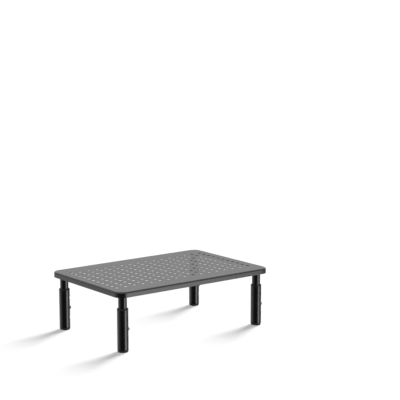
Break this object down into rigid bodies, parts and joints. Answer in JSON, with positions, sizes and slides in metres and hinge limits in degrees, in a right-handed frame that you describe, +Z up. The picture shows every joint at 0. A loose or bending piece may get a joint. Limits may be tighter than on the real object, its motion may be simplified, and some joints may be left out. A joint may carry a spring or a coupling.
{
  "type": "monitor riser",
  "caption": "Perforated metal monitor riser on telescopic legs with snap-button height locks and rubber feet.",
  "frame": {"origin": "on the floor under the middle of the platform, with every leg at its middle height", "axes": "+X along the platform's long side to the user's right, +Y away from the user, +Z up"},
  "size_m": [0.37, 0.248, 0.12],
  "materials": {
    "platform_paint": "satin black powder coat that mirrors a pale room at a low angle",
    "tube_paint": "satin black powder coat",
    "black_plastic": "moulded, satin",
    "rubber": "matt",
    "zinc_steel": "bright zinc plated",
    "button_steel": "polished, dark nickel"
  },
  "bodies": {
    "platform": {"platform": "platform_paint", "nut_plate_front_left": "platform_paint", "stud_plug_front_left": "zinc_steel", "inner_tube_front_left": "tube_paint", "glide_plug_front_left": "black_plastic", "spring_clip_front_left": "zinc_steel", "nut_plate_front_right": "platform_paint", "stud_plug_front_right": "zinc_steel", "inner_tube_front_right": "tube_paint", "glide_plug_front_right": "black_plastic", "spring_clip_front_right": "zinc_steel", "nut_plate_rear_left": "platform_paint", "stud_plug_rear_left": "zinc_steel", "inner_tube_rear_left": "tube_paint", "glide_plug_rear_left": "black_plastic", "spring_clip_rear_left": "zinc_steel", "nut_plate_rear_right": "platform_paint", "stud_plug_rear_right": "zinc_steel", "inner_tube_rear_right": "tube_paint", "glide_plug_rear_right": "black_plastic", "spring_clip_rear_right": "zinc_steel"},
    "leg_front_left": {"outer_tube_front_left": "tube_paint", "guide_bush_front_left": "black_plastic", "foot_cap_front_left": "black_plastic", "foot_pad_front_left": "rubber"},
    "button_front_left": {"snap_button_front_left": "button_steel"},
    "leg_front_right": {"outer_tube_front_right": "tube_paint", "guide_bush_front_right": "black_plastic", "foot_cap_front_right": "black_plastic", "foot_pad_front_right": "rubber"},
    "button_front_right": {"snap_button_front_right": "button_steel"},
    "leg_rear_left": {"outer_tube_rear_left": "tube_paint", "guide_bush_rear_left": "black_plastic", "foot_cap_rear_left": "black_plastic", "foot_pad_rear_left": "rubber"},
    "button_rear_left": {"snap_button_rear_left": "button_steel"},
    "leg_rear_right": {"outer_tube_rear_right": "tube_paint", "guide_bush_rear_right": "black_plastic", "foot_cap_rear_right": "black_plastic", "foot_pad_rear_right": "rubber"},
    "button_rear_right": {"snap_button_rear_right": "button_steel"}
  },
  "joints": [
    {"name": "height_front_left", "type": "slide", "parent": "leg_front_left", "child": "platform", "axis": [0, 0, 1], "range_m": [-0.02, 0.02], "deforming": ["snap_button_front_left"]},
    {"name": "press_front_left", "type": "slide", "parent": "platform", "child": "button_front_left", "axis": [-0.6947, 0.7193, 0], "range_m": [0, 0.0038], "stiffness_N_per_m": 1500, "springref_m": -0.003, "deforming": ["spring_clip_front_left"]},
    {"name": "height_front_right", "type": "slide", "parent": "platform", "child": "leg_front_right", "axis": [0, 0, -1], "range_m": [-0.02, 0.02], "deforming": ["snap_button_front_right"]},
    {"name": "press_front_right", "type": "slide", "parent": "platform", "child": "button_front_right", "axis": [-0.5, 0.866, 0], "range_m": [0, 0.0038], "stiffness_N_per_m": 1500, "springref_m": -0.003, "deforming": ["spring_clip_front_right"]},
    {"name": "height_rear_left", "type": "slide", "parent": "platform", "child": "leg_rear_left", "axis": [0, 0, -1], "range_m": [-0.02, 0.02], "deforming": ["snap_button_rear_left"]},
    {"name": "press_rear_left", "type": "slide", "parent": "platform", "child": "button_rear_left", "axis": [-0.848, 0.5299, 0], "range_m": [0, 0.0038], "stiffness_N_per_m": 1500, "springref_m": -0.003, "deforming": ["spring_clip_rear_left"]},
    {"name": "height_rear_right", "type": "slide", "parent": "platform", "child": "leg_rear_right", "axis": [0, 0, -1], "range_m": [-0.02, 0.02], "deforming": ["snap_button_rear_right"]},
    {"name": "press_rear_right", "type": "slide", "parent": "platform", "child": "button_rear_right", "axis": [-0.766, 0.6428, 0], "range_m": [0, 0.0038], "stiffness_N_per_m": 1500, "springref_m": -0.003, "deforming": ["spring_clip_rear_right"]}
  ]
}
